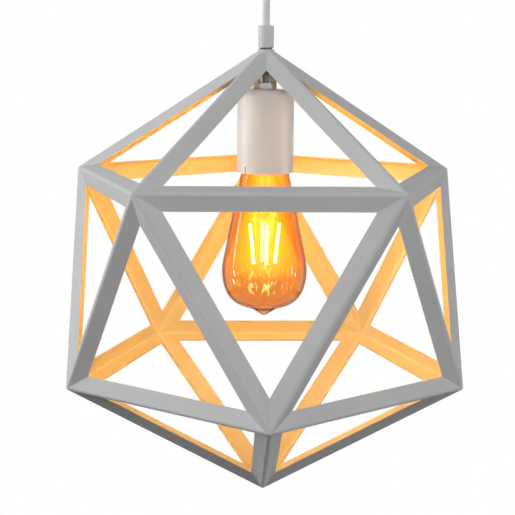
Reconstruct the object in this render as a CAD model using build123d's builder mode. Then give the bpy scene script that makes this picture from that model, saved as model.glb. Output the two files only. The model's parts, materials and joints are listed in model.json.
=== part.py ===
"""Pendant lamp: an open twenty-sided cage of angle-section struts, hung on its cord.

Millimetres, +Z up. The origin is the middle of the face that the ceiling rose puts against the
ceiling, and everything hangs below it. A corner of the cage's lower ring points to the front, -Y.
"""

import os
from math import cos, radians, sin, sqrt

from build123d import *

os.makedirs("parts", exist_ok=True)

# Cage: struts of bent sheet, measured between the sharp corners of the twenty-sided figure
strut_length = 180.0
flange_width = 13.0
sheet_thickness = 1.0
bend_angle = 90.0
bend_inside_radius = 1.5
corner_blunting = 1.7
ring_step = 72.0
upper_ring_turn = 306.0
lower_ring_turn = 270.0

# Collar in the cage's top corner
collar_diameter = 12.4
collar_length = 10.0
collar_below_corner = 3.7

# Threaded tubes, nuts and cord grips, alike in the lamp and in the ceiling rose
tube_diameter = 10.0
tube_bore = 7.0
thread_clearance = 0.05
nut_across_flats = 14.0
thin_nut_height = 4.0
holder_nut_height = 4.8
grip_diameter = 11.6
grip_length = 16.0
grip_edge_chamfer = 0.5
grip_gap = 1.1
thread_in_grip = 8.0
grip_screw_diameter = 3.0
grip_screw_slot = 0.6
grip_screw_inset = 0.5
grip_screw_from_end = 4.0
thread_in_holder = 6.0

# Cord
cord_diameter = 5.5
cord_clearance = 0.05
free_cord_length = 60.0
cord_bend_length = 12.0
core_diameter = 2.2
core_spacing = 2.5

# Lampholder
holder_diameter = 42.0
holder_length = 61.0
holder_wall = 1.2
holder_shoulder_radius = 4.0
holder_shoulder_steps = 3
holder_below_corner = 32.6
holder_notch_width = 2.2
holder_notch_height = 5.5
holder_notch_angle = 223.0
insert_clearance = 0.3
insert_recess = 7.3
insert_floor = 4.0
insert_roof = 3.0
wiring_height = 11.0
wiring_bore = 28.0
wiring_window = 12.0
boss_diameter = 18.0
socket_bore = 26.8
socket_wall = 0.6
socket_length = 24.0
socket_depth = 28.0
contact_height = 32.8
contact_clearance = 0.05
contact_width = 6.0
contact_thickness = 0.4
contact_slope = 4.0
terminal_size = 6.0
terminal_spacing = 17.0
terminal_screw_diameter = 4.0
terminal_screw_head = 1.6
terminal_screw_slot = 0.8

# Bulb: the glass is set out by radii, at heights above its tip and, at the neck, below the cap
bulb_length = 141.5
glass_thickness = 0.9
glass_outline = [
    (2.8, 0.8),
    (7.2, 3.6),
    (12.3, 6.2),
    (18.0, 8.2),
    (21.7, 10.1),
    (25.0, 12.7),
    (27.6, 16.0),
    (29.6, 20.2),
    (31.2, 25.6),
    (32.0, 31.0),
    (32.0, 36.5),
    (31.2, 42.0),
]
neck_radius, neck_below_cap = 17.9, 8.2
throat_radius, throat_below_cap = 15.7, 4.1
rim_below_cap = 1.0
neck_in_cap = 5.0
neck_clearance = 0.05
cap_diameter = 26.2
cap_wall = 0.5
cap_length = 21.8
insulator_height = 3.2
insulator_end_diameter = 12.0
eyelet_diameter = 9.6
eyelet_height = 1.2
stem_clearance = 0.05
stem_flare_length = 14.0
stem_tube_diameter = 8.0
stem_length = 44.0
stem_end_chamfer = 1.0
rod_diameter = 2.4
button_diameter = 4.0
button_thickness = 2.4
button_chamfer = 0.7
filament_count = 4
filament_turn = 8.0
filament_diameter = 2.0
filament_top_radius, filament_bottom_radius = 11.2, 8.2
filament_below_stem = 6.1
filament_drop = 30.9
wire_diameter = 0.7
wire_beyond_filament = 2.5
wire_below_stem = 1.5
wire_spread_at_stem = 2.2

# Ceiling rose
rose_diameter = 100.0
rose_depth = 25.0
rose_wall = 1.0
rose_edge_chamfer = 2.0
bracket_width = 18.0
bracket_thickness = 1.5
bracket_bend_radius = 1.0
bracket_tab = 14.0
bracket_clearance = 0.3
slot_spacing = 72.0
slot_width = 4.5
slot_length = 10.0
rose_screw_diameter = 4.0
rose_screw_length = 8.0
rose_screw_head_diameter = 7.5
rose_screw_head_height = 2.4
rose_screw_head_chamfer = 0.8
rose_screw_slot_width = 1.0
rose_screw_slot_depth = 1.0
rose_screw_below_rim = 9.0
thread_above_rose_nut = 2.0
block_length = 18.0
block_width = 16.0
block_height = 11.0
block_from_axis = 10.0
block_bore = 3.4
block_bore_spacing = 7.6
block_bore_below_bracket = 6.5
block_well_diameter = 4.0
core_in_block = 6.0

# Heights that follow from the sizes above, from the ceiling down
rose_floor = -rose_depth + rose_wall
rose_nut_top = rose_floor + thin_nut_height
rose_tube_top = rose_nut_top + thread_above_rose_nut
rose_grip_bottom = -rose_depth - grip_length
grip_top = rose_grip_bottom - free_cord_length
grip_bottom = grip_top - grip_length
collar_top = grip_bottom - grip_gap
collar_bottom = collar_top - collar_length
top_corner_height = collar_top + collar_below_corner
lock_nut_bottom = collar_bottom - thin_nut_height
holder_top = top_corner_height - holder_below_corner
holder_bottom = holder_top - holder_length
holder_ceiling = holder_top - holder_wall
tube_bottom = holder_ceiling - thread_in_holder
insert_bottom = holder_bottom + insert_recess
insert_floor_bottom = insert_bottom + socket_depth
insert_floor_top = insert_floor_bottom + insert_floor
wiring_top = insert_floor_top + wiring_height
eyelet_top = holder_bottom + contact_height
insulator_top = eyelet_top - eyelet_height
cap_top = insulator_top - insulator_height
cap_bottom = cap_top - cap_length
bulb_tip = eyelet_top - bulb_length

threaded_hole = tube_diameter + 2 * thread_clearance
cord_hole = cord_diameter + 2 * cord_clearance


def save(builder, name):
    """Label a finished piece and write its file."""
    builder.part.label = name
    export_step(builder.part, f"parts/{name}.step")


def round_tube(bottom, top, outside, inside):
    """A tube on the lamp's axis."""
    with BuildPart() as tube:
        with BuildSketch(Plane.XY.offset(bottom)):
            Circle(outside / 2)
            Circle(inside / 2, mode=Mode.SUBTRACT)
        extrude(amount=top - bottom)
    return tube


def hex_nut(bottom, height):
    """A hexagonal nut, a flat to the front."""
    with BuildPart() as nut:
        with BuildSketch(Plane.XY.offset(bottom)):
            RegularPolygon(nut_across_flats / 2, 6, major_radius=False)
            Circle(threaded_hole / 2, mode=Mode.SUBTRACT)
        extrude(amount=height)
    return nut


def grip_screw_plane(cord_end, tube_end):
    """The plane of a grip's set screw: upright at the grip's back, facing out."""
    towards_tube = 1 if tube_end > cord_end else -1
    height = cord_end + towards_tube * grip_screw_from_end
    return Plane(origin=(0, grip_diameter / 2, height), x_dir=(1, 0, 0), z_dir=(0, 1, 0))


def cord_grip(cord_end, tube_end):
    """A round gland: the cord goes in at one end, and a threaded tube screws in at the other."""
    towards_tube = 1 if tube_end > cord_end else -1
    with BuildPart() as grip:
        with BuildSketch(Plane.XY.offset(cord_end)):
            Circle(grip_diameter / 2)
        extrude(amount=towards_tube * grip_length)
        chamfer(grip.edges(), grip_edge_chamfer)
        with BuildSketch(Plane.XY.offset(cord_end)):
            Circle(cord_hole / 2)
        extrude(amount=towards_tube * grip_length, mode=Mode.SUBTRACT)
        with BuildSketch(Plane.XY.offset(tube_end)):
            Circle(threaded_hole / 2)
        extrude(amount=-towards_tube * thread_in_grip, mode=Mode.SUBTRACT)
        with BuildSketch(grip_screw_plane(cord_end, tube_end)):
            Circle(grip_screw_diameter / 2 + thread_clearance)
        extrude(amount=-grip_diameter / 2, mode=Mode.SUBTRACT)
    return grip


def grip_screw(cord_end, tube_end):
    """The slotted set screw of a cord grip, screwed in until it meets the cord."""
    outer_end = grip_screw_plane(cord_end, tube_end).offset(-grip_screw_inset)
    with BuildPart() as screw:
        with BuildSketch(outer_end):
            Circle(grip_screw_diameter / 2)
        extrude(amount=-(grip_diameter / 2 - grip_screw_inset - cord_diameter / 2))
        with BuildSketch(outer_end):
            Rectangle(2 * grip_screw_diameter, grip_screw_slot)
        extrude(amount=-grip_screw_slot, mode=Mode.SUBTRACT)
    return screw


def kinked_wire(points, diameter):
    """A six-sided wire along straight runs, mitred at its kinks."""
    with BuildPart() as wire:
        with BuildLine() as route:
            Polyline(*points)
        with BuildSketch(Plane(origin=route.line @ 0, z_dir=route.line % 0)):
            RegularPolygon(diameter / 2, 6)
        sweep(path=route.line, transition=Transition.RIGHT)
    return wire.part


# Cage corners: one at the top, two rings of five, one at the bottom
corner_distance = strut_length * sqrt(10 + 2 * sqrt(5)) / 4
ring_radius = 2 * corner_distance / sqrt(5)
ring_height = corner_distance / sqrt(5)
cage_centre = Vector(0, 0, top_corner_height - corner_distance)


def cage_ring(height, first_angle):
    """Five corners of the cage, level with each other."""
    angles = [radians(first_angle + ring_step * step) for step in range(5)]
    return [cage_centre + Vector(ring_radius * cos(a), ring_radius * sin(a), height) for a in angles]


top_corner = cage_centre + Vector(0, 0, corner_distance)
bottom_corner = cage_centre - Vector(0, 0, corner_distance)
upper_ring = cage_ring(ring_height, upper_ring_turn)
lower_ring = cage_ring(-ring_height, lower_ring_turn)
corners = [top_corner, bottom_corner, *upper_ring, *lower_ring]


def is_one_strut_away(corner, other):
    """True for two corners that a strut joins."""
    return abs((corner - other).length / strut_length - 1) < 0.01


def strut(start, end):
    """A strut from corner to corner, a V in section with its back to the outside.

    Each end is mitred on the planes midway between this strut and the next one on either side,
    so that the five struts of a corner meet face to face.
    """
    along = (end - start).normalized()
    outward = ((start + end) / 2 - cage_centre).normalized()
    reach = flange_width * sin(radians(bend_angle / 2))
    drop = flange_width * cos(radians(bend_angle / 2))
    third_corners = [c for c in corners if is_one_strut_away(c, start) and is_one_strut_away(c, end)]
    with BuildPart() as bar:
        with BuildSketch(Plane(origin=start, x_dir=outward.cross(along), z_dir=along)):
            with BuildLine():
                FilletPolyline(
                    (-reach, -drop), (0, 0), (reach, -drop), radius=bend_inside_radius + sheet_thickness
                )
                offset(amount=sheet_thickness, side=Side.RIGHT)
            make_face()
        extrude(amount=strut_length)
        for own_corner in (start, end):
            for third_corner in third_corners:
                mitre = Plane(origin=cage_centre, z_dir=own_corner - third_corner)
                split(bisect_by=mitre, keep=Keep.TOP)
            blunting = Plane(origin=own_corner, z_dir=cage_centre - own_corner).offset(corner_blunting)
            split(bisect_by=blunting, keep=Keep.TOP)
        if start == top_corner:
            with BuildSketch(Plane.XY.offset(collar_bottom)):
                Circle(collar_diameter / 2)
            extrude(amount=collar_length + collar_below_corner, mode=Mode.SUBTRACT)
    return bar


for place in range(5):
    following = (place + 1) % 5
    save(strut(top_corner, upper_ring[place]), f"crown_strut_{place + 1}")
    save(strut(upper_ring[place], upper_ring[following]), f"upper_ring_strut_{place + 1}")
    save(strut(upper_ring[place], lower_ring[place]), f"zigzag_strut_{2 * place + 1}")
    save(strut(upper_ring[place], lower_ring[following]), f"zigzag_strut_{2 * place + 2}")
    save(strut(lower_ring[place], lower_ring[following]), f"lower_ring_strut_{place + 1}")
    save(strut(lower_ring[place], bottom_corner), f"base_strut_{place + 1}")

# Collar welded into the cage's top corner, and what is screwed on the tube through it
save(round_tube(collar_bottom, collar_top, collar_diameter, threaded_hole), "cage_collar")
save(hex_nut(lock_nut_bottom, thin_nut_height), "cage_lock_nut")
save(round_tube(tube_bottom, grip_bottom + thread_in_grip, tube_diameter, tube_bore), "threaded_tube")
save(cord_grip(grip_top, grip_bottom), "cord_grip")
save(grip_screw(grip_top, grip_bottom), "cord_grip_screw")
save(hex_nut(holder_top, holder_nut_height), "holder_nut")


def shoulder_outline(radius, top, shoulder_radius):
    """The rounded shoulder of an upturned cup, in short straight steps."""
    angles = [radians(90 / holder_shoulder_steps * step) for step in range(holder_shoulder_steps + 1)]
    return [(radius - shoulder_radius * (1 - sin(a)), top - shoulder_radius * (1 - cos(a))) for a in angles]


# Lampholder cover: a drawn cup, open below, with a small notch in its rim
holder_inside = holder_diameter / 2 - holder_wall
outer_shoulder = shoulder_outline(holder_diameter / 2, holder_top, holder_shoulder_radius)
inner_shoulder = shoulder_outline(holder_inside, holder_ceiling, holder_shoulder_radius - holder_wall)
with BuildPart() as holder_cover:
    with BuildSketch(Plane.XZ):
        with BuildLine():
            Polyline(
                (threaded_hole / 2, holder_top),
                *outer_shoulder,
                (holder_diameter / 2, holder_bottom),
                (holder_inside, holder_bottom),
                *reversed(inner_shoulder),
                (threaded_hole / 2, holder_ceiling),
                close=True,
            )
        make_face()
    revolve(axis=Axis.Z)
    with BuildSketch(Plane.XY.offset(holder_bottom).rotated((0, 0, holder_notch_angle))):
        with Locations((holder_diameter / 2, 0)):
            Rectangle(4 * holder_wall, holder_notch_width)
    extrude(amount=holder_notch_height, mode=Mode.SUBTRACT)
save(holder_cover, "holder_cover")

# Porcelain insert: socket well below, wiring room with two windows above, threaded boss on top
with BuildPart() as holder_insert:
    with BuildSketch(Plane.XY.offset(insert_bottom)):
        Circle(holder_inside - insert_clearance)
    extrude(amount=wiring_top + insert_roof - insert_bottom)
    with BuildSketch(Plane.XY.offset(wiring_top)):
        Circle(boss_diameter / 2)
    extrude(amount=holder_ceiling - wiring_top)
    with BuildSketch(Plane.XY.offset(insert_bottom)):
        Circle(socket_bore / 2 + socket_wall)
    extrude(amount=socket_depth, mode=Mode.SUBTRACT)
    with BuildSketch(Plane.XY.offset(insert_floor_top)):
        Circle(wiring_bore / 2)
        Rectangle(wiring_window, holder_diameter)
    extrude(amount=wiring_height, mode=Mode.SUBTRACT)
    with BuildSketch(Plane.XY.offset(wiring_top)):
        Circle(threaded_hole / 2)
    extrude(amount=holder_ceiling - wiring_top, mode=Mode.SUBTRACT)
save(holder_insert, "holder_insert")

# Socket shell, and the sprung strip that meets the bulb's end contact
socket_outside = socket_bore + 2 * socket_wall
save(round_tube(insert_bottom, insert_bottom + socket_length, socket_outside, socket_bore), "socket_shell")

with BuildPart() as socket_contact:
    with BuildSketch(Plane.XZ.offset(-contact_width / 2)):
        with BuildLine():
            Polyline(
                (-contact_width / 2, eyelet_top + contact_clearance + contact_thickness),
                (contact_width / 2, eyelet_top + contact_clearance + contact_thickness),
                (contact_width / 2 + contact_slope, insert_floor_bottom),
                (contact_width / 2 + 2 * contact_slope, insert_floor_bottom),
            )
            offset(amount=contact_thickness, side=Side.RIGHT)
        make_face()
    extrude(amount=contact_width)
save(socket_contact, "socket_contact")

# Two terminals on the insert's floor, each with its screw
with BuildPart() as holder_terminals:
    with BuildSketch(Plane.XY.offset(insert_floor_top)):
        with GridLocations(0, terminal_spacing, 1, 2):
            Rectangle(terminal_size, terminal_size)
    extrude(amount=terminal_size)
    with BuildSketch(Plane.XY.offset(insert_floor_top + terminal_size)):
        with GridLocations(0, terminal_spacing, 1, 2):
            Circle(terminal_screw_diameter / 2)
            Rectangle(2 * terminal_screw_diameter, terminal_screw_slot, mode=Mode.SUBTRACT)
    extrude(amount=terminal_screw_head)
save(holder_terminals, "holder_terminals")

# Cord inside the lamp: sheath down through the grip and the tube, then a core to each terminal
terminal_face = (terminal_spacing - terminal_size) / 2
core_height = insert_floor_top + terminal_size / 2
core_offset = core_spacing / 2
lamp_core = kinked_wire(
    [(0, core_offset, tube_bottom), (0, core_offset, core_height), (0, terminal_face, core_height)],
    core_diameter,
)
with BuildPart() as lamp_cord_end:
    with BuildSketch(Plane.XY.offset(tube_bottom)):
        Circle(cord_diameter / 2)
    extrude(amount=grip_top - tube_bottom)
    add(lamp_core)
    mirror(about=Plane.XZ)
save(lamp_cord_end, "lamp_cord_end")

# Bulb glass: a blown pear with a small drawn tip, its open neck inside the cap
neck_inside_cap = cap_diameter / 2 - cap_wall - neck_clearance
stem_top = cap_bottom + neck_in_cap
with BuildPart() as bulb_glass:
    with BuildSketch(Plane.XZ):
        with BuildLine():
            Polyline(
                (0, bulb_tip),
                *[(radius, bulb_tip + height) for radius, height in glass_outline],
                (neck_radius, cap_bottom - neck_below_cap),
                (throat_radius, cap_bottom - throat_below_cap),
                (neck_inside_cap, cap_bottom - rim_below_cap),
                (neck_inside_cap, stem_top),
                (0, stem_top),
                close=True,
            )
        make_face()
    revolve(axis=Axis.Z)
    offset(amount=-glass_thickness, openings=bulb_glass.faces().sort_by(Axis.Z)[-1])
save(bulb_glass, "bulb_glass")

# Bulb cap: screw shell, insulating cone and end contact
save(round_tube(cap_bottom, cap_top, cap_diameter, cap_diameter - 2 * cap_wall), "bulb_cap")

with BuildPart() as bulb_insulator:
    with BuildSketch(Plane.XZ):
        with BuildLine():
            Polyline(
                (0, cap_top),
                (cap_diameter / 2, cap_top),
                (insulator_end_diameter / 2, insulator_top),
                (0, insulator_top),
                close=True,
            )
        make_face()
    revolve(axis=Axis.Z)
save(bulb_insulator, "bulb_insulator")

with BuildPart() as bulb_eyelet:
    with BuildSketch(Plane.XY.offset(insulator_top)):
        Circle(eyelet_diameter / 2)
    extrude(amount=eyelet_height)
    chamfer(bulb_eyelet.edges().group_by(Axis.Z)[-1], eyelet_height / 2)
save(bulb_eyelet, "bulb_eyelet")

# Glass stem: a flare sealed in the neck, a tube, and a thin rod down to a button
stem_bottom = stem_top - stem_length
filament_top_height = stem_bottom - filament_below_stem
filament_bottom_height = filament_top_height - filament_drop
button_height = filament_bottom_height - wire_beyond_filament
button_bottom = button_height - button_thickness / 2
button_top = button_height + button_thickness / 2
with BuildPart() as bulb_stem:
    with BuildSketch(Plane.XZ):
        with BuildLine():
            Polyline(
                (0, button_bottom),
                (button_diameter / 2 - button_chamfer, button_bottom),
                (button_diameter / 2, button_bottom + button_chamfer),
                (button_diameter / 2, button_top - button_chamfer),
                (rod_diameter / 2, button_top),
                (rod_diameter / 2, stem_bottom),
                (stem_tube_diameter / 2 - stem_end_chamfer, stem_bottom),
                (stem_tube_diameter / 2, stem_bottom + stem_end_chamfer),
                (stem_tube_diameter / 2, stem_top - stem_flare_length),
                (neck_inside_cap - glass_thickness - stem_clearance, stem_top),
                (0, stem_top),
                close=True,
            )
        make_face()
    revolve(axis=Axis.Z)
save(bulb_stem, "bulb_stem")

# Four lit filaments that lean in towards the bottom, and a bent wire to each of their ends
filament_angles = [270 + filament_turn + 360 / filament_count * step for step in range(filament_count)]


def filament_ends(angle):
    """Bottom and top of one filament."""
    side = Vector(cos(radians(angle)), sin(radians(angle)), 0)
    bottom = side * filament_bottom_radius + Vector(0, 0, filament_bottom_height)
    top = side * filament_top_radius + Vector(0, 0, filament_top_height)
    return bottom, top


with BuildPart() as bulb_filaments:
    for angle in filament_angles:
        bottom, top = filament_ends(angle)
        with BuildSketch(Plane(origin=bottom, z_dir=top - bottom)):
            Circle(filament_diameter / 2)
        extrude(amount=(top - bottom).length)
save(bulb_filaments, "bulb_filaments")

wires = []
for angle in filament_angles:
    bottom, top = filament_ends(angle)
    beyond = (top - bottom).normalized() * wire_beyond_filament
    side = Vector(cos(radians(angle)), sin(radians(angle)), 0)
    in_stem = side * wire_spread_at_stem + Vector(0, 0, stem_bottom)
    under_stem = in_stem - Vector(0, 0, wire_below_stem)
    on_button = side * button_diameter / 2 + Vector(0, 0, button_height)
    wires.append(kinked_wire([top, top + beyond, under_stem, in_stem], wire_diameter))
    wires.append(kinked_wire([bottom, bottom - beyond, on_button], wire_diameter))
with BuildPart() as bulb_wires:
    add(wires)
save(bulb_wires, "bulb_wires")

# Free cord: the short stretch that bends where it leaves the rose, and the straight drop
cord_knee = rose_grip_bottom - cord_bend_length
for name, bottom, top in (("cord_bend", cord_knee, rose_grip_bottom), ("drop_cord", grip_top, cord_knee)):
    with BuildPart() as cord:
        with BuildSketch(Plane.XY.offset(bottom)):
            Circle(cord_diameter / 2)
        extrude(amount=top - bottom)
    save(cord, name)

# Ceiling rose: a drawn cup, open against the ceiling, held to its bracket by two side screws
with BuildPart() as rose_cup:
    with BuildSketch(Plane.XY.offset(-rose_depth)):
        Circle(rose_diameter / 2)
    extrude(amount=rose_depth)
    chamfer(rose_cup.edges().group_by(Axis.Z)[0], rose_edge_chamfer)
    offset(amount=-rose_wall, openings=rose_cup.faces().sort_by(Axis.Z)[-1])
    with BuildSketch(Plane.XY.offset(-rose_depth)):
        Circle(threaded_hole / 2)
    extrude(amount=rose_wall, mode=Mode.SUBTRACT)
    with BuildSketch(Plane.YZ.offset(-rose_diameter / 2)):
        with Locations((0, -rose_screw_below_rim)):
            Circle(rose_screw_diameter / 2 + thread_clearance)
    extrude(amount=rose_diameter, mode=Mode.SUBTRACT)
save(rose_cup, "rose_cup")

# Bracket: a strip against the ceiling, both ends bent down to take the side screws
bracket_reach = sqrt((rose_diameter / 2 - rose_wall - bracket_clearance) ** 2 - (bracket_width / 2) ** 2)
with BuildPart() as rose_bracket:
    with BuildSketch(Plane.XZ.offset(-bracket_width / 2)):
        with BuildLine():
            FilletPolyline(
                (-bracket_reach, -bracket_tab),
                (-bracket_reach, 0),
                (bracket_reach, 0),
                (bracket_reach, -bracket_tab),
                radius=bracket_bend_radius + bracket_thickness,
            )
            offset(amount=bracket_thickness, side=Side.RIGHT)
        make_face()
    extrude(amount=bracket_width)
    with BuildSketch(Plane.XY.offset(-bracket_thickness)):
        with GridLocations(slot_spacing, 0, 2, 1):
            SlotOverall(slot_length, slot_width)
    extrude(amount=bracket_thickness, mode=Mode.SUBTRACT)
    with BuildSketch(Plane.YZ.offset(-bracket_reach)):
        with Locations((0, -rose_screw_below_rim)):
            Circle(rose_screw_diameter / 2 + thread_clearance)
    extrude(amount=2 * bracket_reach, mode=Mode.SUBTRACT)
save(rose_bracket, "rose_bracket")

with BuildPart() as rose_screws:
    under_head = Plane.YZ.offset(rose_diameter / 2)
    with BuildSketch(under_head):
        with Locations((0, -rose_screw_below_rim)):
            Circle(rose_screw_head_diameter / 2)
    extrude(amount=rose_screw_head_height)
    chamfer(rose_screws.edges().sort_by(Axis.X)[-1], rose_screw_head_chamfer)
    with BuildSketch(under_head.offset(rose_screw_head_height)):
        with Locations((0, -rose_screw_below_rim)):
            Rectangle(2 * rose_screw_head_diameter, rose_screw_slot_width)
    extrude(amount=-rose_screw_slot_depth, mode=Mode.SUBTRACT)
    with BuildSketch(under_head):
        with Locations((0, -rose_screw_below_rim)):
            Circle(rose_screw_diameter / 2)
    extrude(amount=-rose_screw_length)
    mirror(about=Plane.YZ)
save(rose_screws, "rose_screws")

# What holds the cord in the rose
save(cord_grip(rose_grip_bottom, -rose_depth), "rose_cord_grip")
save(grip_screw(rose_grip_bottom, -rose_depth), "rose_grip_screw")
rose_tube_bottom = -rose_depth - thread_in_grip
save(round_tube(rose_tube_bottom, rose_tube_top, tube_diameter, tube_bore), "rose_threaded_tube")
save(hex_nut(rose_floor, thin_nut_height), "rose_nut")

# Terminal block under the bracket: two bores for the cores, and a screw well under each
block_middle = block_from_axis + block_length / 2
bore_height = -bracket_thickness - block_bore_below_bracket
with BuildPart() as terminal_block:
    with BuildSketch(Plane.XY.offset(-bracket_thickness)):
        with Locations((block_middle, 0)):
            Rectangle(block_length, block_width)
    extrude(amount=-block_height)
    with BuildSketch(Plane.YZ.offset(block_from_axis)):
        with Locations((-block_bore_spacing / 2, bore_height), (block_bore_spacing / 2, bore_height)):
            Circle(block_bore / 2)
    extrude(amount=block_length, mode=Mode.SUBTRACT)
    with BuildSketch(Plane.XY.offset(-bracket_thickness - block_height)):
        with Locations((block_middle, 0)):
            with GridLocations(0, block_bore_spacing, 1, 2):
                Circle(block_well_diameter / 2)
    extrude(amount=block_height - block_bore_below_bracket, mode=Mode.SUBTRACT)
save(terminal_block, "terminal_block")

# Cord inside the rose: sheath up through the grip and the tube, then a core to each bore
rose_core = kinked_wire(
    [
        (0, core_offset, rose_tube_top),
        (0, core_offset, bore_height),
        (block_from_axis, block_bore_spacing / 2, bore_height),
        (block_from_axis + core_in_block, block_bore_spacing / 2, bore_height),
    ],
    core_diameter,
)
with BuildPart() as rose_cord_end:
    with BuildSketch(Plane.XY.offset(rose_grip_bottom)):
        Circle(cord_diameter / 2)
    extrude(amount=rose_tube_top - rose_grip_bottom)
    add(rose_core)
    mirror(about=Plane.XZ)
save(rose_cord_end, "rose_cord_end")
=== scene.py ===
"""Pendant lamp with an open faceted cage: finishes, fine pieces, light and camera."""

import json
from math import cos, pi, radians, sin

import bpy
from mathutils import Matrix, Vector


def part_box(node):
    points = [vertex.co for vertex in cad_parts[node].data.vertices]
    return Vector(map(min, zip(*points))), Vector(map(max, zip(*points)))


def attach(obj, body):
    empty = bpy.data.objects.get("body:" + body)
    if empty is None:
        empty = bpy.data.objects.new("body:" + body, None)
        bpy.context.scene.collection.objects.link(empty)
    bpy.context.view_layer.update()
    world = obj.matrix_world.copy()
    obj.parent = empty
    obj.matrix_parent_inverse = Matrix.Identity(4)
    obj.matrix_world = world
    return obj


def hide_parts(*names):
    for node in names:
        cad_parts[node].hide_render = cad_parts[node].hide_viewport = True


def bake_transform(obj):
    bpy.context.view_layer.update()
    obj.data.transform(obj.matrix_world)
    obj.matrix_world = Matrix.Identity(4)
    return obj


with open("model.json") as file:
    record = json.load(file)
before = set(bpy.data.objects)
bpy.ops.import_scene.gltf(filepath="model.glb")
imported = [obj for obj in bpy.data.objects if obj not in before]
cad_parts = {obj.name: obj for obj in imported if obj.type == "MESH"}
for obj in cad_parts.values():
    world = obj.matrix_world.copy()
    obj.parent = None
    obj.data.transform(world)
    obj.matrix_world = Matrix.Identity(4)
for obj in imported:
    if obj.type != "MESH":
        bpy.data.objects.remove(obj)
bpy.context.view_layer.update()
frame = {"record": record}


def middle(node):
    """Middle of a node's box."""
    low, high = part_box(node)
    return (Vector(low) + Vector(high)) / 2


def top(node):
    """Height of a node's highest point."""
    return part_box(node)[1][2]


def bottom(node):
    """Height of a node's lowest point."""
    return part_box(node)[0][2]


ring_heights = middle("upper_ring_strut_1").z + middle("lower_ring_strut_1").z
cage_centre = Vector((0, 0, ring_heights / 2))
glow_centre = Vector((0, 0, middle("bulb_filaments").z))

# Camera: worked out from the cage's corners in the photograph
CAMERA_DISTANCE = 0.8938
CAMERA_AZIMUTH, CAMERA_ELEVATION = radians(-1.60), radians(10.82)
CAMERA_PAN, CAMERA_TILT, CAMERA_ROLL = radians(0.34), radians(10.01), radians(0.37)
CAMERA_LENS = 82.65

camera_data = bpy.data.cameras.new("camera")
camera = bpy.data.objects.new("camera", camera_data)
bpy.context.collection.objects.link(camera)
bpy.context.scene.camera = camera
bpy.context.scene.view_settings.view_transform = "Standard"
camera_data.sensor_width = 36
camera_data.lens = CAMERA_LENS
direction = Vector((
    sin(CAMERA_AZIMUTH) * cos(CAMERA_ELEVATION),
    -cos(CAMERA_AZIMUTH) * cos(CAMERA_ELEVATION),
    sin(CAMERA_ELEVATION),
))
camera.matrix_world = (
    Matrix.Translation(cage_centre + direction * CAMERA_DISTANCE)
    @ Matrix.Rotation(CAMERA_AZIMUTH + CAMERA_PAN, 4, "Z")
    @ Matrix.Rotation(pi / 2 - CAMERA_TILT, 4, "X")
    @ Matrix.Rotation(CAMERA_ROLL, 4, "Z")
)


# Making pieces

def deselect():
    """Leave edit mode and select nothing."""
    if bpy.context.object and bpy.context.object.mode != "OBJECT":
        bpy.ops.object.mode_set(mode="OBJECT")
    bpy.ops.object.select_all(action="DESELECT")


def choose(piece):
    """Make a piece the active one and the only one selected."""
    deselect()
    piece.select_set(True)
    bpy.context.view_layer.objects.active = piece


def named(name):
    """Name the piece just made and return it."""
    piece = bpy.context.object
    piece.name = name
    piece.data.name = name
    return piece


def settle(piece):
    """Put a finished piece's place into its mesh."""
    choose(piece)
    bpy.ops.object.transform_apply(location=True, rotation=True, scale=True)
    return piece


def apply(piece, kind, **settings):
    """Add a modifier with its settings and apply it."""
    choose(piece)
    modifier = piece.modifiers.new(kind.lower(), kind)
    for setting, value in settings.items():
        setattr(modifier, setting, value)
    bpy.ops.object.modifier_apply(modifier=modifier.name)
    return piece


def smooth(piece, angle=35):
    """Shade a piece smooth, but for edges sharper than an angle in degrees."""
    choose(piece)
    bpy.ops.object.shade_smooth_by_angle(angle=radians(angle))
    return piece


def drawn_line(name, outline):
    """A line of extruded points in the plane of the axis: (radius, height) pairs."""
    deselect()
    bpy.ops.mesh.primitive_plane_add(size=0.001)
    piece = named(name)
    bpy.ops.object.mode_set(mode="EDIT")
    bpy.ops.mesh.select_mode(type="VERT")
    bpy.ops.mesh.select_all(action="SELECT")
    bpy.ops.mesh.merge(type="CENTER")
    bpy.ops.transform.translate(value=(outline[0][0], 0, outline[0][1]))
    for before, after in zip(outline, outline[1:]):
        bpy.ops.mesh.extrude_region_move(
            TRANSFORM_OT_translate={"value": (after[0] - before[0], 0, after[1] - before[1])}
        )
    bpy.ops.object.mode_set(mode="OBJECT")
    return piece


def turned(name, outline, steps=96):
    """A piece turned round the lamp's axis from its outline."""
    piece = drawn_line(name, outline)
    bpy.ops.object.mode_set(mode="EDIT")
    bpy.ops.mesh.select_all(action="SELECT")
    bpy.ops.mesh.spin(steps=steps, angle=2 * pi, center=(0, 0, 0), axis=(0, 0, 1))
    bpy.ops.mesh.select_all(action="SELECT")
    bpy.ops.mesh.remove_doubles(threshold=0.00001)
    bpy.ops.mesh.normals_make_consistent(inside=False)
    bpy.ops.object.mode_set(mode="OBJECT")
    return piece


def rounded(corners, steps=8):
    """An outline whose corners (radius, height, rounding) are rounded by arcs."""
    points = []
    for place, (radius, height, rounding) in enumerate(corners):
        here = Vector((radius, height))
        if not rounding:
            points.append(tuple(here))
            continue
        before = (Vector(corners[place - 1][:2]) - here).normalized()
        after = (Vector(corners[place + 1][:2]) - here).normalized()
        half = before.angle(after) / 2
        centre = here + (before + after).normalized() * (rounding / sin(half))
        first = here + before * (rounding * cos(half) / sin(half)) - centre
        last = here + after * (rounding * cos(half) / sin(half)) - centre
        whole = first.angle(last)
        for step in range(steps + 1):
            share = step / steps
            spoke = (first * sin((1 - share) * whole) + last * sin(share * whole)) / sin(whole)
            points.append(tuple(centre + spoke))
    return points


LEVEL_WITHIN = 1e-6


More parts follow.
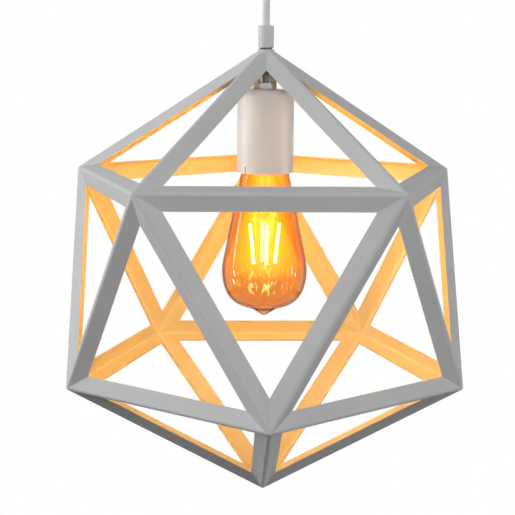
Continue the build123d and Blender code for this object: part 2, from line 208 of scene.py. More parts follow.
def select_level_edges(piece, height):
    """Go into edit mode with only the edges that lie level at a height selected."""
    choose(piece)
    bpy.ops.object.mode_set(mode="EDIT")
    bpy.ops.mesh.select_mode(type="EDGE")
    bpy.ops.mesh.select_all(action="DESELECT")
    bpy.ops.object.mode_set(mode="OBJECT")
    points = piece.data.vertices
    for edge in piece.data.edges:
        edge.select = all(abs(points[end].co.z - height) < LEVEL_WITHIN for end in edge.vertices)
    bpy.ops.object.mode_set(mode="EDIT")


CUT_WITHIN = 1e-7  # a wider threshold leaves stubs of the thread past the level cuts


def threaded(name, low, high, crest, root, pitch, plain_radius, steps=48, wave=6):
    """A tube with a thread on one side: one turn's outline is screwed up the axis, cut off
    level at both ends, and bridged there to a plain tube."""
    mean, swing = (crest + root) / 2, (crest - root) / 2
    outline = [
        (mean + swing * cos(2 * pi * point / wave), low - pitch + pitch * point / wave)
        for point in range(wave + 1)
    ]
    piece = drawn_line(name, outline)
    turns = int((high - low) / pitch) + 3
    apply(piece, "SCREW", screw_offset=pitch, iterations=turns, steps=steps, render_steps=steps,
          axis="Z")
    bpy.ops.object.mode_set(mode="EDIT")
    bpy.ops.mesh.select_all(action="SELECT")
    bpy.ops.mesh.remove_doubles(threshold=pitch / wave / 20)
    for height, side in ((low, {"clear_inner": True}), (high, {"clear_outer": True})):
        bpy.ops.mesh.select_all(action="SELECT")
        bpy.ops.mesh.bisect(
            plane_co=(0, 0, height), plane_no=(0, 0, 1), threshold=CUT_WITHIN, **side
        )
    bpy.ops.mesh.select_all(action="DESELECT")
    bpy.ops.mesh.primitive_cylinder_add(
        vertices=steps, radius=plain_radius, depth=high - low, end_fill_type="NOTHING",
        location=(0, 0, (low + high) / 2),
    )
    bpy.ops.object.mode_set(mode="OBJECT")
    for height in (low, high):
        select_level_edges(piece, height)
        bpy.ops.mesh.bridge_edge_loops()
        bpy.ops.object.mode_set(mode="OBJECT")
    bpy.ops.object.mode_set(mode="EDIT")
    bpy.ops.mesh.select_all(action="SELECT")
    bpy.ops.mesh.normals_make_consistent(inside=False)
    bpy.ops.object.mode_set(mode="OBJECT")
    return smooth(piece, 50)


# Cord: two short tubes on one straight smooth line, from the ceiling rose down to the lamp's grip
CORD_DIAMETER = 0.0055


def cord_tube(name, start, end):
    """A round cord between two heights on a smooth line, and the points that it follows."""
    line = bpy.data.curves.new(name, "CURVE")
    line.dimensions = "3D"
    line.resolution_u = 8
    spline = line.splines.new("NURBS")
    heights = [start, start + (end - start) / 3, start + (end - start) * 2 / 3, end]
    spline.points.add(len(heights) - 1)
    for point, height in zip(spline.points, heights):
        point.co = (0, 0, height, 1)
    spline.order_u = 3
    spline.use_endpoint_u = True
    tube = bpy.data.objects.new(name, line)
    bpy.context.collection.objects.link(tube)
    followed = bpy.data.meshes.new_from_object(tube)
    path = [tuple(vertex.co) for vertex in followed.vertices]
    bpy.data.meshes.remove(followed)
    line.bevel_depth = CORD_DIAMETER / 2
    line.bevel_resolution = 6
    choose(tube)
    bpy.ops.object.convert(target="MESH")
    return smooth(named(name)), path


knee = bottom("cord_bend")
cord_bend, _ = cord_tube("cord_at_the_rose", top("cord_bend"), knee)
drop_cord, drop_path = cord_tube("cord_to_the_lamp", knee, bottom("drop_cord"))


# Bulb glass: a blown pear with a drawn tip, outside and then the wall, its open neck in the cap
bulb_tip, cap_bottom = bottom("bulb_glass"), bottom("bulb_cap")
neck_top = top("bulb_glass")
NECK_RADIUS = 0.01255
GLASS_WALL = 0.0009
glass = turned(
    "amber_glass_pear",
    rounded([
        (0.0, bulb_tip, 0),
        (0.0016, bulb_tip, 0.0012),
        (0.0096, bulb_tip + 0.0052, 0.018),
        (0.0264, bulb_tip + 0.0113, 0.0192),
        (0.0335, bulb_tip + 0.0309, 0.0404),
        (0.0174, cap_bottom - 0.0058, 0.008),
        (NECK_RADIUS, cap_bottom - 0.0010, 0.003),
        (NECK_RADIUS, neck_top, 0),
    ], steps=9),
)
smooth(apply(glass, "SOLIDIFY", thickness=GLASS_WALL, offset=-1), 40)

# Lampholder cover: drawn cup with a rounded shoulder, a fine rim and a small notch in it
holder_top, holder_bottom = top("holder_cover"), bottom("holder_cover")
HOLDER_RADIUS, HOLDER_WALL, TUBE_HOLE = 0.021, 0.0012, 0.00505
NOTCH_WIDTH, NOTCH_HEIGHT, NOTCH_TURN = 0.0022, 0.0055, radians(223)
inner_radius, ceiling = HOLDER_RADIUS - HOLDER_WALL, holder_top - HOLDER_WALL
cover = turned(
    "drawn_holder_cover",
    rounded([
        (TUBE_HOLE, ceiling, 0),
        (TUBE_HOLE, holder_top, 0.0003),
        (HOLDER_RADIUS, holder_top, 0.004),
        (HOLDER_RADIUS, holder_bottom, 0.0005),
        (inner_radius, holder_bottom, 0.0004),
        (inner_radius, ceiling, 0.0028),
        (TUBE_HOLE, ceiling, 0),
    ], steps=6),
    steps=128,
)
deselect()
bpy.ops.mesh.primitive_cube_add(
    size=1,
    location=(HOLDER_RADIUS * cos(NOTCH_TURN), HOLDER_RADIUS * sin(NOTCH_TURN), holder_bottom),
    rotation=(0, 0, NOTCH_TURN),
    scale=(4 * HOLDER_WALL, NOTCH_WIDTH, 2 * NOTCH_HEIGHT),
)
notch = settle(named("notch_cutter"))
apply(notch, "BEVEL", width=0.0006, segments=3)
apply(cover, "BOOLEAN", object=notch, operation="DIFFERENCE", solver="EXACT")
bpy.data.objects.remove(notch)
smooth(cover, 35)


# Hexagonal nuts: flats to the front, the corners taken off by a turned cone above and below
NUT_FLAT_RADIUS, NUT_CORNER_RADIUS = 0.007, 0.007 / cos(pi / 6)
CONE_OVERLAP, CONE_HEIGHT = 0.0002, 0.0007
BORE_FLARE, BORE_FLARE_DEPTH, BORE_PAST_FACE = 0.0015, 0.0005, 0.001


def hexagonal_nut(name, node):
    """A chamfered nut in the place of a node, its bore flared at both faces."""
    low, high = bottom(node), top(node)
    deselect()
    bpy.ops.mesh.primitive_cylinder_add(
        vertices=6, radius=NUT_CORNER_RADIUS, depth=high - low, location=(0, 0, (low + high) / 2),
        rotation=(0, 0, radians(30)),
    )
    nut = settle(named(name))
    narrow, wide = NUT_FLAT_RADIUS - CONE_OVERLAP, NUT_CORNER_RADIUS + CONE_OVERLAP
    lens = turned(
        "nut_chamfer",
        [(0, low), (narrow, low), (wide, low + CONE_HEIGHT), (wide, high - CONE_HEIGHT),
         (narrow, high), (0, high)],
        steps=72,
    )
    apply(nut, "BOOLEAN", object=lens, operation="INTERSECT", solver="EXACT")
    bpy.data.objects.remove(lens)
    flared = TUBE_HOLE + BORE_FLARE
    bore = turned(
        "nut_bore",
        [(0, low - BORE_PAST_FACE), (flared, low - BORE_PAST_FACE),
         (TUBE_HOLE, low + BORE_FLARE_DEPTH), (TUBE_HOLE, high - BORE_FLARE_DEPTH),
         (flared, high + BORE_PAST_FACE), (0, high + BORE_PAST_FACE)],
        steps=48,
    )
    apply(nut, "BOOLEAN", object=bore, operation="DIFFERENCE", solver="EXACT")
    bpy.data.objects.remove(bore)
    return smooth(nut, 30)


holder_nut = hexagonal_nut("chamfered_holder_nut", "holder_nut")
lock_nut = hexagonal_nut("chamfered_lock_nut", "cage_lock_nut")
rose_nut = hexagonal_nut("chamfered_rose_nut", "rose_nut")

# Threaded tubes, M10 with a fine thread
FINE_CREST, FINE_ROOT, FINE_PITCH, FINE_BORE = 0.005, 0.00445, 0.001, 0.0036


def fine_threaded_tube(name, node):
    return threaded(name, bottom(node), top(node), FINE_CREST, FINE_ROOT, FINE_PITCH, FINE_BORE,
                    steps=40, wave=2)


tube = fine_threaded_tube("threaded_tube_in_lamp", "threaded_tube")
rose_tube = fine_threaded_tube("threaded_tube_in_rose", "rose_threaded_tube")

# Bulb cap: a plain skirt round the neck, then the rolled thread up to the insulator
CAP_RADIUS, CAP_WALL, CAP_PITCH, CAP_ROOT = 0.0131, 0.0005, 0.00363, 0.0122
CAP_BORE, CROWN_HOLE = 0.0118, 0.0098
cap_top = top("bulb_cap")
skirt_top = cap_bottom + 0.0056
cap_thread = threaded("rolled_cap_thread", skirt_top, cap_top - 0.0012, CAP_RADIUS, CAP_ROOT,
                      CAP_PITCH, CAP_BORE, steps=64)
skirt_bore, cap_inside = CAP_RADIUS - CAP_WALL, CAP_ROOT - 0.0004
cap_skirt = turned(
    "cap_skirt",
    [
        (skirt_bore, cap_bottom),
        (CAP_RADIUS, cap_bottom + 0.0002),
        (CAP_RADIUS, skirt_top - 0.0006),
        (CAP_RADIUS - 0.0004, skirt_top),
        (cap_inside, skirt_top),
        (cap_inside, skirt_top - 0.0004),
        (skirt_bore, skirt_top - 0.0006),
        (skirt_bore, cap_bottom),
    ],
)
cap_crown = turned(
    "cap_crown",
    rounded([
        (cap_inside, cap_top - 0.0014, 0),
        (CAP_ROOT + 0.0004, cap_top - 0.0014, 0.0002),
        (CAP_ROOT + 0.0004, cap_top, 0.0006),
        (CROWN_HOLE, cap_top, 0),
        (CROWN_HOLE, cap_top - 0.0004, 0),
        (cap_inside, cap_top - 0.0008, 0),
        (cap_inside, cap_top - 0.0014, 0),
    ], steps=4),
)
for part in (cap_skirt, cap_crown):
    smooth(part, 40)

# Socket shell with the same thread pressed in it, its wall inside the solid's
SOCKET_RADIUS = 0.014
socket = threaded("rolled_socket_shell", bottom("socket_shell"), top("socket_shell"),
                  SOCKET_RADIUS - 0.0001, SOCKET_RADIUS - 0.0006, CAP_PITCH, SOCKET_RADIUS,
                  steps=64)

# Filaments: a glass strip in yellow phosphor, its ends rounded, copied to the four places
FILAMENT_RADIUS, FILAMENT_COUNT, FILAMENT_TURN = 0.001, 4, radians(278)
TOP_SPREAD, BOTTOM_SPREAD = 0.0112, 0.0082
filament_low, filament_high = bottom("bulb_filaments"), top("bulb_filaments")
END_CLEARANCE, END_ROUNDING = 0.0002, 0.0005
slant = Vector((TOP_SPREAD - BOTTOM_SPREAD, 0, filament_high - filament_low))
filament_length = slant.length - 2 * END_CLEARANCE
filament = turned(
    "phosphor_filaments",
    rounded([
        (0, 0, 0),
        (FILAMENT_RADIUS, 0, END_ROUNDING),
        (FILAMENT_RADIUS, filament_length, END_ROUNDING),
        (0, filament_length, 0),
    ], steps=4),
    steps=20,
)
smooth(filament, 60)
strips = []
for place in range(FILAMENT_COUNT):
    strip = filament if place == 0 else bpy.data.objects.new("strip", filament.data.copy())
    if place:
        bpy.context.collection.objects.link(strip)
    strips.append(strip)
for place, strip in enumerate(strips):
    turn = FILAMENT_TURN + 2 * pi * place / FILAMENT_COUNT
    side = Vector((cos(turn), sin(turn), 0))
    low = side * BOTTOM_SPREAD + Vector((0, 0, filament_low + END_CLEARANCE))
    foot = side * BOTTOM_SPREAD + Vector((0, 0, filament_low))
    head = side * TOP_SPREAD + Vector((0, 0, filament_high))
    turned_up = (head - foot).to_track_quat("Z", "Y").to_matrix().to_4x4()
    strip.matrix_world = Matrix.Translation(low) @ turned_up
deselect()
for strip in strips:
    strip.select_set(True)
bpy.context.view_layer.objects.active = filament
bpy.ops.object.join()
filaments = settle(named("phosphor_filaments"))


# Finishes: what several materials share
WHITE = (1, 1, 1, 1)
PALE_GREY = (0.8, 0.8, 0.8, 1)
FINISH_OUTPUTS = [
    ("Colour", "NodeSocketColor"), ("Roughness", "NodeSocketFloat"), ("Height", "NodeSocketFloat"),
]


def group(name, inputs, outputs):
    """An empty node group with named inputs and outputs."""
    tree = bpy.data.node_groups.new(name, "ShaderNodeTree")
    for label, kind, value in inputs:
        socket = tree.interface.new_socket(name=label, in_out="INPUT", socket_type=kind)
        socket.default_value = value
    for label, kind in outputs:
        tree.interface.new_socket(name=label, in_out="OUTPUT", socket_type=kind)
    return tree, tree.nodes.new("NodeGroupInput"), tree.nodes.new("NodeGroupOutput")


def fill(tree, node, values):
    """Fill a node's inputs with values or with other nodes' outputs."""
    for place, value in values.items():
        if isinstance(value, bpy.types.NodeSocket):
            tree.links.new(value, node.inputs[place])
        else:
            node.inputs[place].default_value = value
    return node


def put(tree, kind, values=None, **options):
    """Place a node, set its options and fill its inputs."""
    made = tree.nodes.new(kind)
    for option, value in options.items():
        setattr(made, option, value)
    return fill(tree, made, values or {})


def maths(tree, operation, *values):
    return put(tree, "ShaderNodeMath", dict(enumerate(values)), operation=operation).outputs[0]


def product(tree, first, *others):
    """Several values multiplied."""
    for value in others:
        first = maths(tree, "MULTIPLY", first, value)
    return first


def vector_maths(tree, operation, output, values):
    made = put(tree, "ShaderNodeVectorMath", values, operation=operation)
    return made.outputs[output]


def grade(tree, value, low, high, first=0.0, last=1.0):
    """A smooth step of a value between two limits."""
    limits = {"Value": value, "From Min": low, "From Max": high, "To Min": first, "To Max": last}
    made = put(tree, "ShaderNodeMapRange", limits, interpolation_type="SMOOTHSTEP")
    return made.outputs["Result"]


def blend_colours(tree, share, first, second):
    """A colour that goes over into a second one by its share."""
    return put(tree, "ShaderNodeMix", {0: share, 6: first, 7: second}, data_type="RGBA").outputs[2]


def scaled(tree, colour, factor):
    return vector_maths(tree, "SCALE", 0, {0: colour, "Scale": factor})


def object_place(tree):
    return put(tree, "ShaderNodeTexCoord").outputs["Object"]


def height_of(tree, place):
    return put(tree, "ShaderNodeSeparateXYZ", {0: place}).outputs["Z"]


def stretched(tree, place, scale):
    return put(tree, "ShaderNodeMapping", {"Vector": place, "Scale": scale}).outputs[0]


def noise(tree, scale, detail=3.0, roughness=0.5, place=None):
    values = {"Vector": place or object_place(tree), "Scale": scale, "Detail": detail,
              "Roughness": roughness}
    return put(tree, "ShaderNodeTexNoise", values).outputs["Fac"]


# Sprayed powder: fine orange peel, slow drifts of tone, a slightly uneven sheen
powder, powder_in, powder_out = group(
    "sprayed_powder",
    [("Colour", "NodeSocketColor", PALE_GREY), ("Grain", "NodeSocketFloat", 900.0),
     ("Sheen", "NodeSocketFloat", 0.45)],
    FINISH_OUTPUTS,
)
place = object_place(powder)
peel = noise(powder, powder_in.outputs["Grain"], 2.0, place=place)
drift = noise(powder, 22.0, 2.0, place=place)
specks = grade(powder, noise(powder, 2600.0, 1.0, 0.4, place), 0.68, 0.78)
speckled = maths(powder, "SUBTRACT", 1.0, product(powder, specks, 0.05))
tone = product(powder, grade(powder, drift, 0.3, 0.7, 0.955, 1.0), speckled)
uneven = grade(powder, drift, 0.3, 0.7, -0.05, 0.05)
fill(powder, powder_out, {
    "Colour": scaled(powder, powder_in.outputs["Colour"], tone),
    "Roughness": maths(powder, "ADD", powder_in.outputs["Sheen"], uneven),
    "Height": peel,
})

# Worked metal: fine turning marks round the axis and a little dulling
DULLED = (0.35, 0.33, 0.31, 1)
worked, worked_in, worked_out = group(
    "worked_metal",
    [("Colour", "NodeSocketColor", PALE_GREY), ("Polish", "NodeSocketFloat", 0.15)],
    FINISH_OUTPUTS,
)
place = object_place(worked)
marks = noise(worked, 1.0, 3.0, 0.6, stretched(worked, place, (40.0, 40.0, 4000.0)))
dull = noise(worked, 160.0, 3.0, 0.6, place)
spots = grade(worked, dull, 0.45, 0.75, 0.0, 0.35)
uneven = grade(worked, dull, 0.35, 0.75, 0.0, 0.12)
fill(worked, worked_out, {
    "Colour": blend_colours(worked, spots, worked_in.outputs["Colour"], DULLED),
    "Roughness": maths(worked, "ADD", worked_in.outputs["Polish"], uneven),
    "Height": marks,
})


def material(name):
    """A new material: its tree, its Principled shader and its output."""
    made = bpy.data.materials.new(name)
    made.use_nodes = True
    tree = made.node_tree
    return made, tree, tree.nodes["Principled BSDF"], tree.nodes["Material Output"]


def raised(tree, shader, height, depth):
    """Give a shader a surface relief of a depth in metres."""
    bump = put(tree, "ShaderNodeBump", {"Height": height, "Distance": depth, "Strength": 1.0})
    fill(tree, shader, {"Normal": bump.outputs["Normal"]})


def finish(tree, shader, shared, depth, **values):
    """Feed a shader's roughness and relief from a shared finish, and return its colour."""
    coat = put(tree, "ShaderNodeGroup", values, node_tree=shared)
    fill(tree, shader, {"Roughness": coat.outputs["Roughness"]})
    raised(tree, shader, coat.outputs["Height"], depth)
    return coat.outputs["Colour"]


def mix_shaders(tree, share, first, second):
    return put(tree, "ShaderNodeMixShader", {0: share, 1: first.outputs[0], 2: second.outputs[0]})


def facing_along(tree, where, line):
    """How far a surface faces along a line: 1 when it looks along it, -1 against it."""
    unit = vector_maths(tree, "NORMALIZE", 0, {0: line})
    return vector_maths(tree, "DOT_PRODUCT", "Value", {0: unit, 1: where.outputs["Normal"]})


def powder_coated(name, colour, sheen, shine):
    made, tree, shader, _ = material(name)
    coat = finish(tree, shader, powder, 0.00002, Colour=colour, Grain=900.0, Sheen=sheen)
    fill(tree, shader, {"Base Color": coat, "Specular IOR Level": shine})
    return made


def metal(name, colour, polish):
    made, tree, shader, _ = material(name)
    wear = finish(tree, shader, worked, 0.000004, Colour=colour, Polish=polish)
    fill(tree, shader, {"Base Color": wear, "Metallic": 1.0})
    return made


def cage_coat_with_painted_glow():
    """White powder coat, with the bulb's warm light painted into its colour on the faces that look
    into the cage. This painted glow fades towards the top, a painted shadow of the holder, and
    bounced light doesn't pick it up."""
    made, tree, shader, _ = material("cage_powder_coat_with_painted_glow")
    where = put(tree, "ShaderNodeTexCoord")
    place = where.outputs["Object"]
    from_centre = vector_maths(tree, "SUBTRACT", 0, {0: place, 1: cage_centre})
    inside = grade(tree, facing_along(tree, where, from_centre), -0.05, -0.3)
    height = height_of(tree, place)
    # painted shadow: the painted glow is weaker near the top, where the holder shades the bulb's
    # light
    painted_glow_reach = grade(tree, height, holder_top + 0.012, holder_top - 0.010, 0.10, 0.75)
    bounced = put(tree, "ShaderNodeLightPath").outputs["Is Diffuse Ray"]
    # painted bulb light: a warm tint on the inside faces, left out of bounced rays
    painted_bulb_glow = product(tree, inside, painted_glow_reach, maths(tree, "SUBTRACT", 1.0, bounced))
    white, painted_glow_colour = (0.78, 0.785, 0.79, 1), (0.95, 0.58, 0.20, 1)
    coat = finish(tree, shader, powder, 0.000009, Colour=white, Grain=900.0, Sheen=0.42)
    fill(tree, shader, {
        "Base Color": blend_colours(tree, painted_bulb_glow, coat, painted_glow_colour),
        "Specular IOR Level": 0.05,
    })
    return made


def holder_coat_with_painted_shade():
    """Satin white paint outside; inside the drawn cover, a dark colour is painted shade."""
    made, tree, shader, _ = material("holder_paint")
    where = put(tree, "ShaderNodeTexCoord")
    level = vector_maths(tree, "MULTIPLY", 0, {0: where.outputs["Object"], 1: (1.0, 1.0, 0.0)})
    inside = grade(tree, facing_along(tree, where, level), -0.3, -0.7)
    # the dark inside colour is painted shade on the inside of the cover
    white, bare = (0.91, 0.88, 0.93, 1), (0.16, 0.14, 0.13, 1)
    coat = finish(tree, shader, powder, 0.00001, Colour=white, Grain=500.0, Sheen=0.38)
    fill(tree, shader, {
        "Base Color": blend_colours(tree, inside, coat, bare),
        "Specular IOR Level": 0.4,
    })
    return made


def glass_shell(name, middle_colour, edge_colour, shade, rim_colour, streak):
    """Thin glass whose colour deepens towards its edges. The light inside it shines through its
    shade, and at the very rim it only tints what is behind it."""
    made, tree, shader, output = material(name)
    place = object_place(tree)
    facing = put(tree, "ShaderNodeLayerWeight", {"Blend": 0.5}).outputs["Facing"]
    drawn = noise(tree, 1.0, 2.0, place=stretched(tree, place, (60.0, 60.0, 12.0)))
    cloud = noise(tree, 300.0, 2.0, place=place)
    colour = blend_colours(tree, grade(tree, facing, 0.15, 0.70), middle_colour, edge_colour)
    colour = blend_colours(tree, grade(tree, facing, 0.66, 0.95), colour, rim_colour)
    colour = scaled(tree, colour, grade(tree, drawn, 0.35, 0.65, 1.0 - streak, 1.0))
    fill(tree, shader, {
        "Base Color": colour,
        "Roughness": grade(tree, cloud, 0.4, 0.8, 0.01, 0.05),
        "Transmission Weight": 1.0,
        "IOR": 1.33,
    })
    rim = put(tree, "ShaderNodeBsdfTransparent", {"Color": (0.72, 0.50, 0.36, 1)})
    rimmed = mix_shaders(tree, grade(tree, facing, 0.62, 0.82), shader, rim)
    see_through = put(tree, "ShaderNodeBsdfTransparent", {"Color": shade})
    shadow_ray = put(tree, "ShaderNodeLightPath").outputs["Is Shadow Ray"]
    both = mix_shaders(tree, shadow_ray, rimmed, see_through)
    fill(tree, output, {"Surface": both.outputs[0]})
    return made, tree, shader, facing, place, colour


def amber_glass():
    """Amber glass, deeper in its dome, with the filaments' light painted into it: a painted yellow
    halo and glow, strongest beside them and towards the middle, and painted glints in the uneven
    glass below."""
    made, tree, shader, facing, place, colour = glass_shell(
        "amber_glass",
        middle_colour=(1.0, 0.55, 0.20, 1),
        edge_colour=(0.90, 0.43, 0.19, 1),
        shade=(1.0, 0.90, 0.60, 1),
        rim_colour=(0.42, 0.17, 0.09, 1),
        streak=0.12,
    )
    height = height_of(tree, place)

    def below_middle(start, end, last=1.0):
        """A grade between two depths below the middle of the filaments."""
        return grade(tree, height, glow_centre.z - start, glow_centre.z - end, 0.0, last)

    beside = below_middle(0.024, 0.010)
    # painted light: the filaments' halo and core glow are painted into the glass's colour and
    # emission
    painted_halo = product(tree, beside, grade(tree, facing, 0.44, 0.08))
    painted_core_glow = product(tree, beside, grade(tree, facing, 0.16, 0.0))
    uneven = noise(tree, 1.0, 2.0, 0.6, stretched(tree, place, (330.0, 330.0, 150.0)))
    # painted glints of the filaments in a band of the dome
    painted_glints = product(tree, below_middle(0.036, 0.030), below_middle(0.021, 0.026),
                     grade(tree, uneven, 0.54, 0.66), grade(tree, facing, 0.26, 0.06))
    colour = blend_colours(tree, below_middle(0.022, 0.046, 0.8), colour, (0.86, 0.46, 0.21, 1))
    colour = blend_colours(tree, painted_halo, colour, (1.0, 0.56, 0.09, 1))
    # the painted glow goes into the glass's emission
    painted_glow = blend_colours(tree, painted_halo, (0.0, 0.0, 0.0, 1), (0.30, 0.09, 0.0, 1))
    painted_glow = blend_colours(tree, painted_core_glow, painted_glow, (0.45, 0.20, 0.03, 1))
    painted_glow = blend_colours(tree, painted_glints, painted_glow, (0.75, 0.48, 0.16, 1))
    fill(tree, shader, {
        "Base Color": colour,
        "Emission Color": painted_glow,
        "Emission Strength": 1.0,
        "Specular Tint": (1.0, 0.88, 0.70, 1),
    })
    return made


def stem_glass():
    return glass_shell(
        "stem_glass",
        middle_colour=(1.0, 0.96, 0.86, 1),
        edge_colour=(1.0, 0.93, 0.78, 1),
        shade=(1.0, 0.98, 0.94, 1),
        rim_colour=(0.8, 0.72, 0.6, 1),
        streak=0.05,
    )[0]


def plain(name, colour, roughness, bump_scale=600.0):
    """Moulded or glazed stuff with a faint unevenness."""
    made, tree, shader, _ = material(name)
    cloud = noise(tree, bump_scale, 3.0)
    slow = grade(tree, noise(tree, 60.0, 2.0), 0.35, 0.7)
    deep = tuple(channel * 0.9 for channel in colour[:3]) + (1,)
    fill(tree, shader, {
        "Base Color": blend_colours(tree, slow, colour, deep),
        "Roughness": grade(tree, cloud, 0.3, 0.7, roughness - 0.04, roughness + 0.06),
    })
    raised(tree, shader, cloud, 0.00001)
    return made


def lit_filament():
    """Yellow phosphor with fine beads in it, lit."""
    made, tree, shader, _ = material("lit_filament")
    beads = noise(tree, 900.0, 2.0)
    fill(tree, shader, {
        "Base Color": blend_colours(tree, beads, (1.0, 0.80, 0.42, 1), (1.0, 0.72, 0.30, 1)),
        "Roughness": 0.6,
        "Emission Color": (1.0, 0.84, 0.74, 1),
        "Emission Strength": 45.0,
    })
    return made


PAST_TUBE = 0.0001  # how far past a threaded tube's end the cores begin


def two_core_cord():
    """Light round sheath; past its two ends only the cores show, one brown and one blue."""
    made, tree, shader, _ = material("cord_sheath")
    place = object_place(tree)
    axes = put(tree, "ShaderNodeSeparateXYZ", {0: place}).outputs
    slow = grade(tree, noise(tree, 90.0, 2.0, place=place), 0.35, 0.7)
    sheath = blend_colours(tree, slow, (0.92, 0.93, 0.95, 1), (0.86, 0.87, 0.89, 1))
    in_lamp = maths(tree, "LESS_THAN", axes["Z"], bottom("threaded_tube") - PAST_TUBE)
    in_rose = maths(tree, "GREATER_THAN", axes["Z"], top("rose_threaded_tube") + PAST_TUBE)
    bare = maths(tree, "MAXIMUM", in_lamp, in_rose)
    behind = maths(tree, "GREATER_THAN", axes["Y"], 0.0)
    cores = blend_colours(tree, behind, (0.03, 0.12, 0.42, 1), (0.15, 0.06, 0.03, 1))
    fine = noise(tree, 1400.0, 2.0, place=place)
    fill(tree, shader, {
        "Base Color": blend_colours(tree, bare, sheath, cores),
        "Roughness": grade(tree, fine, 0.3, 0.7, 0.42, 0.52),
    })
    raised(tree, shader, noise(tree, 700.0, 2.0, place=place), 0.00001)
    return made


finishes = {
    "cage_paint": cage_coat_with_painted_glow(),
    "grip_paint": powder_coated("grip_paint", (0.84, 0.84, 0.85, 1), 0.38, 0.3),
    "holder_paint": holder_coat_with_painted_shade(),
    "rose_paint": powder_coated("rose_paint", (0.80, 0.80, 0.80, 1), 0.42, 0.2),
    "plated_steel": metal("plated_steel", (0.44, 0.43, 0.43, 1), 0.22),
    "porcelain": plain("porcelain", (0.86, 0.85, 0.80, 1), 0.16, 120.0),
    "contact_brass": metal("contact_brass", (0.85, 0.62, 0.30, 1), 0.20),
    "cord_sheath": two_core_cord(),
    "bulb_glass": amber_glass(),
    "stem_glass": stem_glass(),
    "filament": lit_filament(),
    "cap_brass": metal("cap_brass", (0.80, 0.70, 0.48, 1), 0.18),
    "black_glass": plain("black_glass", (0.02, 0.02, 0.025, 1), 0.12),
    "block_plastic": plain("block_plastic", (0.80, 0.80, 0.74, 1), 0.45),
}

slot_of = {part["node"]: part["material_slot"] for part in frame["record"]["subparts"]}
for node, slot in slot_of.items():
    slots = bpy.data.objects[node].material_slots
    for place in range(len(slots)):
        slots[place].material = finishes[slot]

bodies = frame["record"]["behaviour"]["bodies"]
body_of = {node: body for body, nodes in bodies.items() for node in nodes}


def dress(piece, slot, body=None):
    """Give a new piece its finish, and the body it moves with."""
    piece.data.materials.clear()
    piece.data.materials.append(finishes[slot])
    if body:
        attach(piece, body)


dress(cord_bend, "cord_sheath")
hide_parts("cord_bend")
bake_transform(cord_bend)
dress(drop_cord, "cord_sheath")
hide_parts("drop_cord")
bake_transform(drop_cord)

for piece, node in (
    (glass, "bulb_glass"),
    (cover, "holder_cover"),
    (holder_nut, "holder_nut"),
    (lock_nut, "cage_lock_nut"),
    (rose_nut, "rose_nut"),
    (tube, "threaded_tube"),
    (rose_tube, "rose_threaded_tube"),
    (socket, "socket_shell"),
    (cap_thread, "bulb_cap"),
    (cap_skirt, "bulb_cap"),
    (cap_crown, "bulb_cap"),
    (filaments, "bulb_filaments"),
):
    dress(piece, slot_of[node], body_of[node])
    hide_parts(node)


# Floor and backdrop: white to the camera, in gloss and through glass
FLOOR_SIZE, FLOOR_HEIGHT = 12, -3.5
SOFT_LIGHT = 0.03


def shows_backdrop(tree):
    """1 for camera, glossy and transmission rays."""
    path = put(tree, "ShaderNodeLightPath").outputs
    through = maths(tree, "MAXIMUM", path["Is Glossy Ray"], path["Is Transmission Ray"])
    return maths(tree, "MAXIMUM", path["Is Camera Ray"], through)


bpy.ops.mesh.primitive_plane_add(size=FLOOR_SIZE, location=(0, 0, FLOOR_HEIGHT))
floor = settle(named("studio_floor"))
floor_material, tree, shader, output = material("pale_floor")
fill(tree, shader, {"Base Color": PALE_GREY, "Roughness": 0.9})
white = put(tree, "ShaderNodeEmission", {"Color": WHITE, "Strength": 1.0})
both = mix_shaders(tree, shows_backdrop(tree), shader, white)
fill(tree, output, {"Surface": both.outputs[0]})
floor.data.materials.append(floor_material)

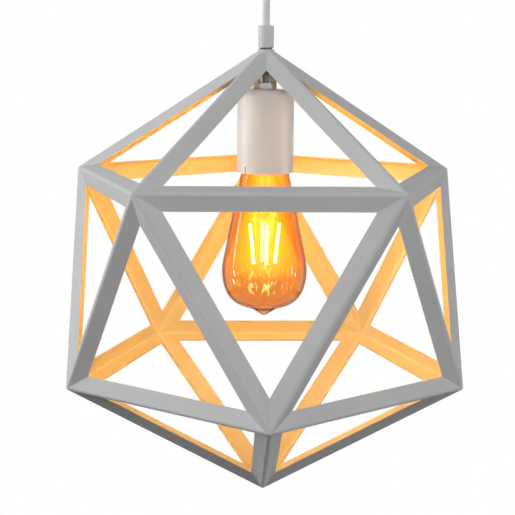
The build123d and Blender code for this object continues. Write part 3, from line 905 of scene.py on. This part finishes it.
world = bpy.data.worlds.new("studio")
bpy.context.scene.world = world
world.use_nodes = True
tree = world.node_tree
tree.nodes.clear()
soft = put(tree, "ShaderNodeBackground", {"Color": WHITE, "Strength": SOFT_LIGHT})
white = put(tree, "ShaderNodeBackground", {"Color": WHITE, "Strength": 1.0})
both = mix_shaders(tree, shows_backdrop(tree), soft, white)
put(tree, "ShaderNodeOutputWorld", {"Surface": both.outputs[0]})


def softbox(name, place, size, power, colour=(1, 1, 1), height=None, gloss_only=False):
    """A soft light that points at the middle of the cage. One with a height is a strip that shows
    in gloss, and it can be made to show in gloss alone."""
    light = bpy.data.lights.new(name, "AREA")
    light.shape = "RECTANGLE"
    light.size, light.size_y = size, height or size
    light.energy = power
    light.color = colour
    lamp = bpy.data.objects.new(name, light)
    bpy.context.collection.objects.link(lamp)
    lamp.location = cage_centre + Vector(place)
    lamp.rotation_euler = Vector(place).to_track_quat("Z", "Y").to_euler()
    lamp.visible_camera = False
    lamp.visible_glossy = height is not None
    lamp.visible_diffuse = not gloss_only
    lamp.visible_transmission = False


COOL = (0.98, 0.99, 1.0)
softbox("light_from_high_left", (-1.6, -0.2, 0.9), 1.0, 11.6, COOL)
softbox("light_from_the_front", (0.0, -1.8, 0.8), 1.0, 12.2)
softbox("light_from_high_right", (1.5, -0.5, 0.8), 1.0, 2.4)
softbox("light_from_the_right", (1.3, -1.3, 0.4), 1.0, 2.2)
softbox("light_from_behind", (0.2, 1.8, 0.2), 1.0, 6.0)
softbox("strip_on_the_left", (-1.77, 0.30, 0.15), 0.30, 7.5, COOL, height=0.8)
softbox("strip_on_the_right", (1.76, -0.37, -0.05), 0.20, 2.4, height=0.4)
softbox("gleam_on_the_left", (-1.70, 0.06, -0.38), 0.28, 20.0, height=0.6, gloss_only=True)
softbox("gleam_on_the_right", (1.70, 0.03, -0.36), 0.18, 9.0, height=0.4, gloss_only=True)

# The bulb's own light, which moves with the glass
bulb_light = bpy.data.lights.new("bulb_light", "POINT")
bulb_light.energy = 0.60
bulb_light.color = (1.0, 0.79, 0.24)
bulb_light.shadow_soft_size = 0.012
bulb_lamp = bpy.data.objects.new("bulb_light", bulb_light)
bpy.context.collection.objects.link(bulb_lamp)
bulb_lamp.parent = glass
bulb_lamp.location = glow_centre
bulb_lamp.visible_camera = False
bulb_lamp.visible_glossy = False
bulb_lamp.visible_transmission = False
